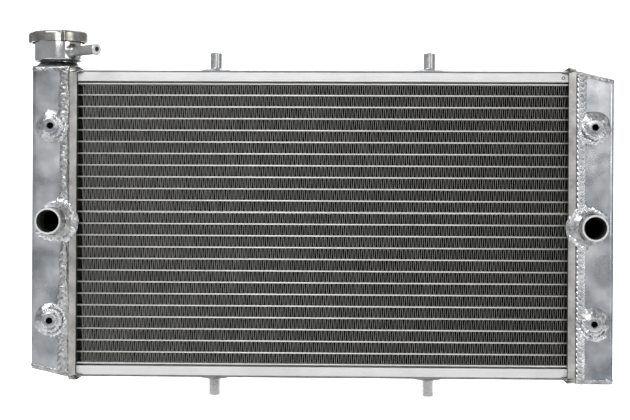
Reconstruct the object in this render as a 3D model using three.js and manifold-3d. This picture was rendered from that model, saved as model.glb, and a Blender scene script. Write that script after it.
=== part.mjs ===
// Cross-flow aluminium radiator with a fitted pressure cap. Millimetres, +Z up.
// -Y is the side with the hose pipes.
// The origin is the middle of the bottom rail's underside, on the core's mid-plane.
import * as THREE from 'three';
import { mergeVertices } from 'three/addons/utils/BufferGeometryUtils.js';
import Module from 'manifold-3d';

const TAU = 2 * Math.PI;
const degrees = (angle) => (angle * Math.PI) / 180;

// ---- driving dimensions ----
const GAP = 0.3; // left between pieces that are brazed, welded or seated together

const TUBE_COUNT = 23;
const TUBE_PITCH = 10;
const TUBE_THICK = 1.6;
const TUBE_WALL = 0.3;
const CORE_DEPTH = 32;
const CORE_HALF_WIDTH = 209.5; // from the middle to each header
const TUBE_OVERRUN = 4; // each tube's end stands this far past the header's face

const FIN_BANKS = 4;
const STRIPS_PER_BANK = 6;
const FIN_FOLDS = 16; // straight legs in one corrugated strip
const FIN_FOIL = 0.3;
const FIN_START = -203; // the strips stop a little short of the headers
const FIN_END = 204;
const COMB_THICK = 0.5;
const COMB_HALF_DEPTH = 16.8;

const SHEET_THICK = 1;
const RAIL_TOP = 131.3; // outer face of each side rail, from the core's middle
const RAIL_HEIGHT = 9.5;
const RAIL_HALF_DEPTH = 18;
const RAIL_WALL = 1.5;
const RAIL_BEND = 2.5;
const RAIL_STEPS = 7; // lengths its web is divided into, so the middle one stays clear of the pins

const HEADER_HALF_HEIGHT = 134.3;
const HEADER_RIM = 6.3;
const HEADER_WALL = 2;
const HEADER_CORNER = 5;

const TANK_HALF_DEPTH = 21;
const TANK_WALL = 2.5;
const TANK_CORNER = 4;
const TANK_OUTER = 248; // outer wall, from the middle
const TANK_INNER = CORE_HALF_WIDTH + HEADER_RIM + GAP;
const TANK_FLAT_END = 134.3; // square end of each tank
const TANK_SLANT_IN = 131.2; // the other end slants from this height at the header...
const TANK_SLANT_OUT = 124; // ...to this one at the outer wall
const END_PLATE = 2.5;

const PIPE_X = 228.5;
const PIPE_Z = 1.8;
const PIPE_RADIUS = 11;
const PIPE_WALL = 1.5;
const PIPE_REACH = 29; // in front of the tank

const BOSS_X = 231;
const BOSS_Z = 83;
const BOSS_RADIUS = 6.5;
const BOSS_REACH = 8.5;
const BOSS_HOLE_RADIUS = 2.5; // tapping size of an M6 thread
const BOSS_HOLE_DEPTH = 10;

const PIN_X = 92;
const PIN_RADIUS = 5;
const PIN_LENGTH = 15;
const PIN_FLANGE_RADIUS = 12;
const PIN_FLANGE_THICK = 1.6;

const NECK_X = -229;
const NECK_FOOT = TANK_FLAT_END + GAP;
const NECK_TUBE_RADIUS = 15;
const NECK_BORE = 13.4;
const NECK_SHELF = 139.2;
const NECK_SEAT = 141.6;
const NECK_CUP_RADIUS = 20.5;
const NECK_CUP_BORE = 19;
const NECK_RIM = 161.5;
const NECK_CAM_RADIUS = 21.7;
const NECK_CAM_HEIGHT = 3.5;
const NECK_CUP_ROUND = 2.5; // the cup's lower edge is rolled round
const NECK_SEAT_THICK = 1;
const NECK_SEAT_WIDTH = 1.6; // the ring that the cap's seal presses on
const NECK_GAP_HALF_WIDTH = 7.5; // half of each gap in the cam ring
const NECK_FEED_X = -232; // the hole through the tank's end plate
const NECK_FEED_RADIUS = 10;

const NIPPLE_AZIMUTH = 47.5; // degrees from -Y towards +X
const NIPPLE_Z = 147.3;
const NIPPLE_RADIUS = 4.4;
const NIPPLE_BORE = 2.2;
const NIPPLE_SWELL = 0.7; // the tip swells by this much to hold the hose
const NIPPLE_SWELL_LENGTH = 4;
const NIPPLE_COLLAR_WIDTH = 1.6;
const NIPPLE_COLLAR_LENGTH = 3;
const NIPPLE_TIP = 53.5; // from the neck's axis

const CAP_TOP = 165.2;
const CAP_SHEET = 1.2;
const CAP_RADIUS = 23.5;
const CAP_EAR_RADIUS = 26;
const CAP_EAR_TURN = degrees(-33); // one ear points this far from +X, the other opposite
const CAP_EAR_HALF = degrees(42); // half the angle an ear takes up, its blend included
const CAP_EAR_BLEND = degrees(8);
const CAP_SKIRT_BOTTOM = 156;
const CAP_SKIRT_WALL = 1;
const CAP_TAB_INNER = NECK_CUP_RADIUS + 0.5;
const CAP_TAB_HALF_WIDTH = 5;
const CAP_TAB_THICK = 1.2;

const RIVET_RADIUS = 3;
const RIVET_HEAD_RADIUS = 5.5;
const RIVET_TAIL_RADIUS = 4.5;
const RIVET_TAIL_THICK = 1;

const GASKET_INNER = 10;
const GASKET_OUTER = 21;
const GASKET_THICK = 1.5;

const BELL_RADIUS = 9.7;
const BELL_WALL = 1;
const BELL_BOTTOM = 150;

const SEAL_INNER = 9;
const SEAL_OUTER = 15.5;
const SEAL_THICK = 2.3;

const PLATE_BORE = 3.2;
const PLATE_OUTER = 14;
const PLATE_THICK = 1.2;
const PLATE_COLLAR_RADIUS = BELL_RADIUS - BELL_WALL - 0.5; // slides inside the bell
const PLATE_COLLAR_WALL = 1.2;
const PLATE_COLLAR_TOP = 153;

const VACUUM_DISC_RADIUS = 6;
const VACUUM_DISC_THICK = 1.2;
const VACUUM_STEM_RADIUS = 1.6;
const VACUUM_STEM_TOP = 149;

const SPRING_RADIUS = 11.6;
const SPRING_WIRE = 0.8; // radius
const SPRING_TURNS = 4;

// ---- materials ----
const metal = (color, roughness) => new THREE.MeshStandardMaterial({ color, roughness, metalness: 1 });
const sheetAluminium = metal(0xb9bcc0, 0.35);
const headerAluminium = metal(0xb2b0ad, 0.45);
const brightAluminium = metal(0xdedddc, 0.4);
const tubeAluminium = metal(0xcfceca, 0.4);
const turnedAluminium = metal(0xc4c4c6, 0.3);
const finAluminium = metal(0x6a6a66, 0.6);
const platedSteel = metal(0x9d978c, 0.2);
const springSteel = metal(0x8a8a8c, 0.3);
const rubber = new THREE.MeshStandardMaterial({ color: 0x161616, roughness: 0.85, metalness: 0 });

// ---- solids that can be cut and joined ----
const wasm = await Module();
wasm.setup();

function toSolid(geometry) {
  const bare = geometry.clone();
  bare.deleteAttribute('normal');
  bare.deleteAttribute('uv');
  const merged = mergeVertices(bare, 1e-4);
  return new wasm.Manifold(new wasm.Mesh({
    numProp: 3,
    vertProperties: merged.attributes.position.array,
    triVerts: new Uint32Array(merged.index.array),
  }));
}

function toGeometry(solid) {
  const { vertProperties, triVerts } = solid.getMesh();
  const geometry = new THREE.BufferGeometry();
  geometry.setAttribute('position', new THREE.BufferAttribute(vertProperties, 3));
  geometry.setIndex(new THREE.BufferAttribute(triVerts, 1));
  geometry.computeVertexNormals();
  return geometry;
}

// base minus every cutter
function cut(base, ...cutters) {
  return toGeometry(cutters.reduce((solid, cutter) => solid.subtract(toSolid(cutter)), toSolid(base)));
}

function join(...parts) {
  return toGeometry(parts.map(toSolid).reduce((solid, next) => solid.add(next)));
}

const overlapOf = (a, b) => toGeometry(toSolid(a).intersect(toSolid(b)));

// ---- shapes ----
// An outline drawn in the Y-Z plane, pushed along +X from `from` to `to`.
function alongX(shape, from, to, curveSegments = 1, steps = 1) {
  const settings = { depth: to - from, bevelEnabled: false, curveSegments, steps };
  const geometry = new THREE.ExtrudeGeometry(shape, settings);
  const axes = [new THREE.Vector3(0, 1, 0), new THREE.Vector3(0, 0, 1), new THREE.Vector3(1, 0, 0)];
  return geometry.applyMatrix4(new THREE.Matrix4().makeBasis(...axes)).translate(from, 0, 0);
}

// An outline drawn in the X-Z plane, pushed along Y, half of halfDepth to each side.
function alongY(shape, halfDepth) {
  const geometry = new THREE.ExtrudeGeometry(shape, { depth: 2 * halfDepth, bevelEnabled: false });
  const axes = [new THREE.Vector3(1, 0, 0), new THREE.Vector3(0, 0, 1), new THREE.Vector3(0, -1, 0)];
  return geometry.applyMatrix4(new THREE.Matrix4().makeBasis(...axes)).translate(0, halfDepth, 0);
}

// An outline drawn in the X-Y plane, pushed along +Z from `from` to `to`.
function alongZ(shape, from, to, curveSegments = 3) {
  const settings = { depth: to - from, bevelEnabled: false, curveSegments };
  return new THREE.ExtrudeGeometry(shape, settings).translate(0, 0, from);
}

function polygon(points) {
  return new THREE.Shape(points.map(([x, y]) => new THREE.Vector2(x, y)));
}

// A profile of [radius, height] points, turned about Y; a ring's profile closes on itself.
function turned(profile, segments) {
  return new THREE.LatheGeometry(profile.map(([r, h]) => new THREE.Vector2(r, h)), segments);
}

const turnedZ = (profile, segments) => turned(profile, segments).rotateX(Math.PI / 2);

const closed = (profile) => [...profile, profile[0]];

// A box between two corners.
function block([x0, y0, z0], [x1, y1, z1]) {
  const box = new THREE.BoxGeometry(x1 - x0, y1 - y0, z1 - z0);
  return box.translate((x0 + x1) / 2, (y0 + y1) / 2, (z0 + z1) / 2);
}

function stadium(halfDepth, thick) {
  const end = thick / 2;
  const shape = new THREE.Shape();
  shape.absarc(halfDepth - end, 0, end, -Math.PI / 2, Math.PI / 2);
  shape.absarc(-(halfDepth - end), 0, end, Math.PI / 2, 1.5 * Math.PI);
  return shape;
}

function roundedRectangle(halfWidth, halfHeight, radius) {
  const x = halfWidth - radius;
  const y = halfHeight - radius;
  const shape = new THREE.Shape();
  shape.absarc(x, -y, radius, -Math.PI / 2, 0);
  shape.absarc(x, y, radius, 0, Math.PI / 2);
  shape.absarc(-x, y, radius, Math.PI / 2, Math.PI);
  shape.absarc(-x, -y, radius, Math.PI, 1.5 * Math.PI);
  return shape;
}

// ---- assembly ----
const radiator = new THREE.Group();
const core = new THREE.Group(); // its own middle is the core's middle
core.position.z = RAIL_TOP;
radiator.add(core);

function addPiece(name, geometry, material, parent = core) {
  const mesh = new THREE.Mesh(geometry, material);
  mesh.name = name;
  parent.add(mesh);
  return mesh;
}

const numbered = (name, index) => `${name}_${String(index + 1).padStart(2, '0')}`;
const tubeHeight = (index) => (index - (TUBE_COUNT - 1) / 2) * TUBE_PITCH;

// ---- core: tubes, fins, side sheets ----
function tubeGeometry() {
  const shape = stadium(CORE_DEPTH / 2, TUBE_THICK);
  shape.holes.push(stadium(CORE_DEPTH / 2 - TUBE_WALL, TUBE_THICK - 2 * TUBE_WALL));
  const reach = CORE_HALF_WIDTH + TUBE_OVERRUN;
  return alongX(shape, -reach, reach);
}

// One corrugated strip, with its middle at height z.
function finStrip(z) {
  const leg = (FIN_END - FIN_START) / FIN_FOLDS;
  const room = TUBE_PITCH - TUBE_THICK - 2 * GAP;
  const upright = FIN_FOIL * Math.hypot(1, (room - FIN_FOIL) / leg); // the foil's thickness measured along Z
  const rise = (room - upright) / 2;
  const fold = (i, side) => [FIN_START + i * leg, z + (i % 2 ? rise : -rise) + (side * upright) / 2];
  const lower = Array.from({ length: FIN_FOLDS + 1 }, (_, i) => fold(i, -1));
  const upper = Array.from({ length: FIN_FOLDS + 1 }, (_, i) => fold(i, 1)).reverse();
  return alongY(polygon([...lower, ...upper]), CORE_DEPTH / 2);
}

// Six strips between tubes, held together by a slotted comb at each end.
function finBank(bank) {
  const first = bank * STRIPS_PER_BANK;
  const stripHeight = (i) => tubeHeight(first + i) - TUBE_PITCH / 2;
  const bottom = stripHeight(0) - TUBE_PITCH / 2 + TUBE_THICK / 2 + GAP;
  const top = stripHeight(STRIPS_PER_BANK - 1) + TUBE_PITCH / 2 - TUBE_THICK / 2 - GAP;
  const slotHalf = TUBE_THICK / 2 + GAP;
  const slotDepth = CORE_DEPTH / 2 + GAP;
  const strips = Array.from({ length: STRIPS_PER_BANK }, (_, i) => finStrip(stripHeight(i)));
  const slots = Array.from({ length: STRIPS_PER_BANK - 1 }, (_, i) => {
    const z = tubeHeight(first + i);
    return block([FIN_START - 5, -slotDepth, z - slotHalf], [FIN_END + 5, slotDepth, z + slotHalf]);
  });
  const combs = [FIN_START, FIN_END - COMB_THICK].map((x) =>
    block([x, -COMB_HALF_DEPTH, bottom], [x + COMB_THICK, COMB_HALF_DEPTH, top]));
  return join(cut(combs[0], ...slots), cut(combs[1], ...slots), ...strips);
}

for (let i = 0; i < TUBE_COUNT; i++) {
  addPiece(numbered('tube', i), tubeGeometry(), tubeAluminium).position.z = tubeHeight(i);
}
for (let i = 0; i < FIN_BANKS; i++) {
  addPiece(numbered('fin_bank', i), finBank(i), finAluminium);
}

const sheetInner = tubeHeight(TUBE_COUNT - 1) + TUBE_PITCH - TUBE_THICK / 2;
const sheetReach = CORE_HALF_WIDTH - GAP;
const sheetGeometry = block(
  [-sheetReach, -CORE_DEPTH / 2, sheetInner],
  [sheetReach, CORE_DEPTH / 2, sheetInner + SHEET_THICK],
);

// ---- side rails and mounting pins ----
// A bent channel, open towards the core, with a hole for each pin. Its rear flange reaches the side sheet.
function railGeometry() {
  const bottom = RAIL_TOP - RAIL_HEIGHT;
  const rearBottom = sheetInner + SHEET_THICK + GAP;
  const y = RAIL_HALF_DEPTH;
  const shape = new THREE.Shape();
  shape.moveTo(-y, bottom);
  shape.lineTo(-y + RAIL_WALL, bottom);
  shape.lineTo(-y + RAIL_WALL, RAIL_TOP - RAIL_WALL);
  shape.lineTo(y - RAIL_WALL, RAIL_TOP - RAIL_WALL);
  shape.lineTo(y - RAIL_WALL, rearBottom);
  shape.lineTo(y, rearBottom);
  shape.absarc(y - RAIL_BEND, RAIL_TOP - RAIL_BEND, RAIL_BEND, 0, Math.PI / 2);
  shape.absarc(-y + RAIL_BEND, RAIL_TOP - RAIL_BEND, RAIL_BEND, Math.PI / 2, Math.PI);
  const holes = [-PIN_X, PIN_X].map((x) => {
    const hole = new THREE.CylinderGeometry(PIN_RADIUS + GAP, PIN_RADIUS + GAP, 3 * RAIL_WALL, 16);
    return hole.rotateX(Math.PI / 2).translate(x, 0, RAIL_TOP - RAIL_WALL / 2);
  });
  return cut(alongX(shape, -sheetReach, sheetReach, 2, RAIL_STEPS), ...holes);
}

// A turned pin with its own flange; the shank below the flange passes through the rail.
function pinGeometry() {
  const foot = RAIL_TOP - RAIL_WALL - 1;
  const flange = RAIL_TOP + GAP;
  const shoulder = flange + PIN_FLANGE_THICK;
  const tip = RAIL_TOP + PIN_FLANGE_THICK + PIN_LENGTH;
  const chamfer = 0.8;
  return turnedZ([
    [0, foot], [PIN_RADIUS, foot], [PIN_RADIUS, flange], [PIN_FLANGE_RADIUS, flange],
    [PIN_FLANGE_RADIUS - chamfer, shoulder], [PIN_RADIUS, shoulder],
    [PIN_RADIUS, tip - chamfer], [PIN_RADIUS - chamfer, tip], [0, tip],
  ], 16);
}

for (const [side, turn] of [['top', 0], ['bottom', Math.PI]]) {
  const edge = new THREE.Group();
  edge.rotation.y = turn;
  core.add(edge);
  addPiece(`${side}_rail`, railGeometry(), brightAluminium, edge);
  addPiece(`${side}_side_sheet`, sheetGeometry.clone(), tubeAluminium, edge);
  for (const x of [-PIN_X, PIN_X]) {
    const hand = x < 0 === (turn === 0) ? 'left' : 'right';
    addPiece(`${side}_pin_${hand}`, pinGeometry(), turnedAluminium, edge).position.x = x;
  }
}

// ---- headers and end tanks ----
// Drawn at the left. The right-hand ones are the same pieces turned half round Y.
// A shallow pressed pan with a slot for each tube.
function headerGeometry() {
  const face = -CORE_HALF_WIDTH;
  const outer = roundedRectangle(TANK_HALF_DEPTH, HEADER_HALF_HEIGHT, HEADER_CORNER);
  const inner = roundedRectangle(
    TANK_HALF_DEPTH - HEADER_WALL, HEADER_HALF_HEIGHT - HEADER_WALL, HEADER_CORNER - HEADER_WALL,
  );
  const hollow = alongX(inner, face - HEADER_RIM - 1, face - HEADER_WALL, 2);
  const slots = Array.from({ length: TUBE_COUNT }, (_, i) =>
    alongX(stadium(CORE_DEPTH / 2 + GAP, TUBE_THICK + 2 * GAP), face - HEADER_RIM, face + 1)
      .translate(0, 0, tubeHeight(i)));
  return cut(alongX(outer, face - HEADER_RIM, face, 2), hollow, ...slots);
}

// Seen from above: the tank's outside, grown or shrunk by `inset`.
function tankPlan(inset) {
  const y = TANK_HALF_DEPTH - inset;
  const x = TANK_OUTER - inset;
  const radius = TANK_CORNER - inset;
  const shape = new THREE.Shape();
  shape.moveTo(-TANK_INNER, -y);
  shape.lineTo(-TANK_INNER, y);
  shape.absarc(-x + radius, y - radius, radius, Math.PI / 2, Math.PI);
  shape.absarc(-x + radius, -y + radius, radius, Math.PI, 1.5 * Math.PI);
  return shape;
}

// Seen from the front: the tank between its square end, less `top`, and a line `bottomFrom` above its
// slanted end. With `bottomTo`, the band between that line and one `bottomTo` above the slanted end.
function tankSlab(top, bottomFrom, bottomTo) {
  const [inX, outX] = [-TANK_INNER + 1, -TANK_OUTER - 1];
  const slope = (TANK_SLANT_IN - TANK_SLANT_OUT) / (TANK_OUTER - TANK_INNER);
  const slant = (x) => -TANK_SLANT_IN - slope * (x + TANK_INNER);
  const lower = [[outX, slant(outX) + bottomFrom], [inX, slant(inX) + bottomFrom]];
  const upper = bottomTo === undefined
    ? [[inX, TANK_FLAT_END - top], [outX, TANK_FLAT_END - top]]
    : [[inX, slant(inX) + bottomTo], [outX, slant(outX) + bottomTo]];
  return alongY(polygon([...lower, ...upper]), TANK_HALF_DEPTH + 1);
}

const fullTank = 2 * TANK_FLAT_END;

function tankShell() {
  const wall = tankPlan(0);
  const cavity = alongZ(tankPlan(TANK_WALL), -fullTank, fullTank);
  const hollow = join(cavity, cavity.clone().translate(2 * TANK_WALL, 0, 0)); // past the open side
  const body = overlapOf(alongZ(wall, -fullTank, fullTank), tankSlab(END_PLATE + GAP, END_PLATE + GAP));
  const frontHole = (x, z, radius) =>
    new THREE.CylinderGeometry(radius, radius, 3 * TANK_WALL, 24).translate(-x, -TANK_HALF_DEPTH, z);
  const holes = [
    frontHole(PIPE_X, PIPE_Z, PIPE_RADIUS + GAP),
    frontHole(BOSS_X, BOSS_Z, BOSS_RADIUS + GAP),
    frontHole(BOSS_X, -BOSS_Z, BOSS_RADIUS + GAP),
  ];
  return cut(body, hollow, ...holes);
}

// The plate welded on the tank's square end; the filler neck feeds through a hole in the left-hand one.
function squareEndPlate(fed) {
  const plate = alongZ(tankPlan(0), TANK_FLAT_END - END_PLATE, TANK_FLAT_END);
  const feed = new THREE.CylinderGeometry(NECK_FEED_RADIUS, NECK_FEED_RADIUS, 3 * END_PLATE, 24);
  feed.rotateX(Math.PI / 2).translate(NECK_FEED_X, 0, TANK_FLAT_END);
  return fed ? cut(plate, feed) : plate;
}

const slantedEndPlate = () => overlapOf(alongZ(tankPlan(0), -fullTank, 0), tankSlab(0, 0, END_PLATE));

// A hose pipe with a rounded lip, through the tank's front wall.
function pipeGeometry() {
  const tip = -TANK_HALF_DEPTH - PIPE_REACH;
  const root = -TANK_HALF_DEPTH + TANK_WALL + 1;
  const bore = PIPE_RADIUS - PIPE_WALL;
  const lip = PIPE_WALL / 6;
  return turned(closed([
    [bore, root], [bore, tip + lip], [bore + lip, tip], [PIPE_RADIUS - lip, tip],
    [PIPE_RADIUS, tip + lip], [PIPE_RADIUS, root],
  ]), 24);
}

// A threaded boss with a blind hole, for the fan shroud's screws.
function bossGeometry() {
  const face = -TANK_HALF_DEPTH - BOSS_REACH;
  const root = -TANK_HALF_DEPTH + TANK_WALL + 2;
  const lead = 0.6;
  return turned([
    [0, face + BOSS_HOLE_DEPTH], [BOSS_HOLE_RADIUS, face + BOSS_HOLE_DEPTH],
    [BOSS_HOLE_RADIUS, face + lead], [BOSS_HOLE_RADIUS + lead, face],
    [BOSS_RADIUS - lead, face], [BOSS_RADIUS, face + lead], [BOSS_RADIUS, root], [0, root],
  ], 16);
}

for (const [side, turn] of [['left', 0], ['right', Math.PI]]) {
  const end = new THREE.Group();
  end.rotation.y = turn;
  core.add(end);
  const [square, slanted] = turn ? ['bottom', 'top'] : ['top', 'bottom'];
  addPiece(`${side}_header`, headerGeometry(), headerAluminium, end);
  addPiece(`${side}_tank_shell`, tankShell(), sheetAluminium, end);
  addPiece(`${side}_tank_${square}_plate`, squareEndPlate(turn === 0), sheetAluminium, end);
  addPiece(`${side}_tank_${slanted}_plate`, slantedEndPlate(), sheetAluminium, end);
  const pipe = addPiece(turn ? 'outlet_pipe' : 'inlet_pipe', pipeGeometry(), turnedAluminium, end);
  pipe.position.set(-PIPE_X, 0, PIPE_Z);
  for (const z of [BOSS_Z, -BOSS_Z]) {
    const level = z > 0 === (turn === 0) ? 'upper' : 'lower';
    const boss = addPiece(`${side}_${level}_fan_boss`, bossGeometry(), turnedAluminium, end);
    boss.position.set(-BOSS_X, 0, z);
  }
}

// ---- filler neck and its overflow nipple ----
const neck = new THREE.Group(); // its Z axis is the neck's axis
neck.position.x = NECK_X;
core.add(neck);

function neckGeometry() {
  const rolled = NECK_CUP_ROUND / 3;
  const body = turnedZ(closed([
    [NECK_TUBE_RADIUS, NECK_FOOT], [NECK_TUBE_RADIUS, NECK_SHELF],
    [NECK_CUP_RADIUS - NECK_CUP_ROUND, NECK_SHELF], [NECK_CUP_RADIUS - rolled, NECK_SHELF + rolled],
    [NECK_CUP_RADIUS, NECK_SHELF + NECK_CUP_ROUND],
    [NECK_CUP_RADIUS, NECK_RIM - NECK_CAM_HEIGHT], [NECK_CAM_RADIUS, NECK_RIM - NECK_CAM_HEIGHT],
    [NECK_CAM_RADIUS, NECK_RIM], [NECK_CUP_BORE, NECK_RIM],
    [NECK_CUP_BORE, NECK_SEAT - NECK_SEAT_THICK], [NECK_BORE + NECK_SEAT_WIDTH, NECK_SEAT - NECK_SEAT_THICK],
    [NECK_BORE + NECK_SEAT_WIDTH, NECK_SEAT], [NECK_BORE, NECK_SEAT], [NECK_BORE, NECK_FOOT],
  ]), 28);
  // Two gaps in the cam ring let the cap's tabs drop in, a quarter turn from where they lock.
  const gapInner = NECK_CUP_RADIUS + 0.1;
  const gaps = [0, Math.PI].map((turn) =>
    block(
      [gapInner, -NECK_GAP_HALF_WIDTH, NECK_RIM - NECK_CAM_HEIGHT - 1],
      [gapInner + 5, NECK_GAP_HALF_WIDTH, NECK_RIM + 1],
    ).rotateZ(turn + CAP_EAR_TURN));
  const nippleHole = new THREE.CylinderGeometry(NIPPLE_RADIUS + GAP, NIPPLE_RADIUS + GAP, 8, 16);
  nippleHole.translate(0, -NECK_CUP_BORE, NIPPLE_Z);
  nippleHole.rotateZ(degrees(NIPPLE_AZIMUTH));
  return cut(body, ...gaps, nippleHole);
}

// A drilled spigot with a collar at the neck and a swollen tip that holds the overflow hose.
function nippleGeometry() {
  const root = -(NECK_CUP_BORE - 1);
  const collar = -(NECK_CUP_RADIUS + GAP);
  const tip = -NIPPLE_TIP;
  const swollen = NIPPLE_RADIUS + NIPPLE_SWELL;
  return turned(closed([
    [NIPPLE_BORE, root], [NIPPLE_BORE, tip], [NIPPLE_RADIUS, tip],
    [swollen, tip + NIPPLE_SWELL], [swollen, tip + NIPPLE_SWELL_LENGTH / 2],
    [NIPPLE_RADIUS, tip + NIPPLE_SWELL_LENGTH], [NIPPLE_RADIUS, collar - NIPPLE_COLLAR_LENGTH],
    [NIPPLE_RADIUS + NIPPLE_COLLAR_WIDTH, collar], [NIPPLE_RADIUS, collar],
    [NIPPLE_RADIUS, root],
  ]), 12);
}

addPiece('filler_neck', neckGeometry(), turnedAluminium, neck);
const nipple = addPiece('overflow_nipple', nippleGeometry(), turnedAluminium, neck);
nipple.position.z = NIPPLE_Z;
nipple.rotation.z = degrees(NIPPLE_AZIMUTH);

// ---- pressure cap ----
// The cap seen from above: round, with two ears to turn it by.
function capPlan(inset) {
  const points = 40;
  const outline = Array.from({ length: points }, (_, i) => {
    const angle = (i / points) * TAU;
    const fromEar = Math.abs(((angle + Math.PI / 2) % Math.PI) - Math.PI / 2);
    const share = 1 - THREE.MathUtils.smoothstep(fromEar, CAP_EAR_HALF - CAP_EAR_BLEND, CAP_EAR_HALF);
    const radius = THREE.MathUtils.lerp(CAP_RADIUS, CAP_EAR_RADIUS, share) - inset;
    return [radius * Math.cos(angle), radius * Math.sin(angle)];
  });
  return polygon(outline);
}

function capShell() {
  const outside = alongZ(capPlan(0), CAP_SKIRT_BOTTOM, CAP_TOP);
  const inside = alongZ(capPlan(CAP_SKIRT_WALL), CAP_SKIRT_BOTTOM - 1, CAP_TOP - CAP_SHEET);
  const holeRadius = RIVET_RADIUS + GAP;
  const rivetHole = new THREE.CylinderGeometry(holeRadius, holeRadius, 3 * CAP_SHEET, 16);
  rivetHole.rotateX(Math.PI / 2).translate(0, 0, CAP_TOP);
  // Two tabs, folded in from the skirt, hook under the neck's cam ring.
  const tabs = [0, Math.PI].map((turn) =>
    block(
      [-CAP_TAB_HALF_WIDTH, CAP_TAB_INNER, CAP_SKIRT_BOTTOM],
      [CAP_TAB_HALF_WIDTH, CAP_RADIUS - 0.8 * CAP_SKIRT_WALL, CAP_SKIRT_BOTTOM + CAP_TAB_THICK],
    ).rotateZ(turn));
  return join(cut(outside, inside, rivetHole), ...tabs);
}

const gasketBottom = NECK_RIM + GAP;
const bellTop = CAP_TOP - CAP_SHEET - GAP;
const sealBottom = NECK_SEAT + GAP;
const sealTop = sealBottom + SEAL_THICK;
const plateBottom = sealTop + GAP;
const plateTop = plateBottom + PLATE_THICK;

// A flat ring between two heights.
const ring = (inner, outer, bottom, top) =>
  turnedZ(closed([[inner, bottom], [outer, bottom], [outer, top], [inner, top]]), 24);

// The bell hangs from the rivet and guides the valve plate.
function capBell() {
  const hole = RIVET_RADIUS + GAP;
  const bore = BELL_RADIUS - BELL_WALL;
  const roof = bellTop - BELL_WALL;
  return turnedZ(closed([
    [hole, roof], [bore, roof], [bore, BELL_BOTTOM], [BELL_RADIUS, BELL_BOTTOM], [BELL_RADIUS, bellTop],
    [hole, bellTop],
  ]), 20);
}

function capRivet() {
  const tailTop = bellTop - BELL_WALL - GAP;
  const tailBottom = tailTop - RIVET_TAIL_THICK;
  const headBottom = CAP_TOP + GAP;
  return turnedZ([
    [0, tailBottom], [RIVET_TAIL_RADIUS, tailBottom], [RIVET_TAIL_RADIUS, tailTop], [RIVET_RADIUS, tailTop],
    [RIVET_RADIUS, headBottom], [RIVET_HEAD_RADIUS, headBottom], [RIVET_HEAD_RADIUS - 1, headBottom + 1],
    [0, headBottom + 1.2],
  ], 16);
}

// A disc that rests on the seal, with a collar round its middle.
function pressurePlate() {
  const bore = PLATE_COLLAR_RADIUS - PLATE_COLLAR_WALL;
  return turnedZ(closed([
    [PLATE_BORE, plateBottom], [PLATE_OUTER, plateBottom], [PLATE_OUTER, plateTop],
    [PLATE_COLLAR_RADIUS, plateTop], [PLATE_COLLAR_RADIUS, PLATE_COLLAR_TOP], [bore, PLATE_COLLAR_TOP],
    [bore, plateTop], [PLATE_BORE, plateTop],
  ]), 24);
}

// A small disc inside the seal's ring, on a stem through the plate.
function vacuumValve() {
  const bottom = sealTop - VACUUM_DISC_THICK;
  return turnedZ([
    [0, bottom], [VACUUM_DISC_RADIUS, bottom], [VACUUM_DISC_RADIUS, sealTop], [VACUUM_STEM_RADIUS, sealTop],
    [VACUUM_STEM_RADIUS, VACUUM_STEM_TOP], [0, VACUUM_STEM_TOP + 0.5],
  ], 16);
}

// The main spring's centreline: a rising helix between the valve plate and the gasket.
class Helix extends THREE.Curve {
  constructor(radius, bottom, top, turns) {
    super();
    Object.assign(this, { radius, bottom, top, turns });
  }

  getPoint(t, target = new THREE.Vector3()) {
    const angle = t * this.turns * TAU;
    const z = this.bottom + t * (this.top - this.bottom);
    return target.set(this.radius * Math.cos(angle), this.radius * Math.sin(angle), z);
  }
}

function pressureSpring() {
  const clear = SPRING_WIRE + GAP + 0.2;
  const path = new Helix(SPRING_RADIUS, plateTop + clear, gasketBottom - clear, SPRING_TURNS);
  const section = new THREE.Shape().absarc(0, 0, SPRING_WIRE, 0, TAU);
  const steps = 12 * SPRING_TURNS;
  const settings = { steps, curveSegments: 3, bevelEnabled: false, extrudePath: path };
  return new THREE.ExtrudeGeometry(section, settings);
}

const gasket = ring(GASKET_INNER, GASKET_OUTER, gasketBottom, gasketBottom + GASKET_THICK);
const seal = ring(SEAL_INNER, SEAL_OUTER, sealBottom, sealTop);
addPiece('cap_shell', capShell(), platedSteel, neck).rotation.z = CAP_EAR_TURN;
addPiece('cap_rivet', capRivet(), platedSteel, neck);
addPiece('cap_bell', capBell(), platedSteel, neck);
addPiece('cap_gasket', gasket, rubber, neck);
addPiece('pressure_spring', pressureSpring(), springSteel, neck);
addPiece('pressure_valve_plate', pressurePlate(), platedSteel, neck);
addPiece('pressure_valve_seal', seal, rubber, neck);
addPiece('vacuum_valve', vacuumValve(), platedSteel, neck);

export default radiator;
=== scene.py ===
import math
import random

import bmesh
import bpy
import numpy as np
from mathutils import Matrix, Vector, noise


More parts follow.
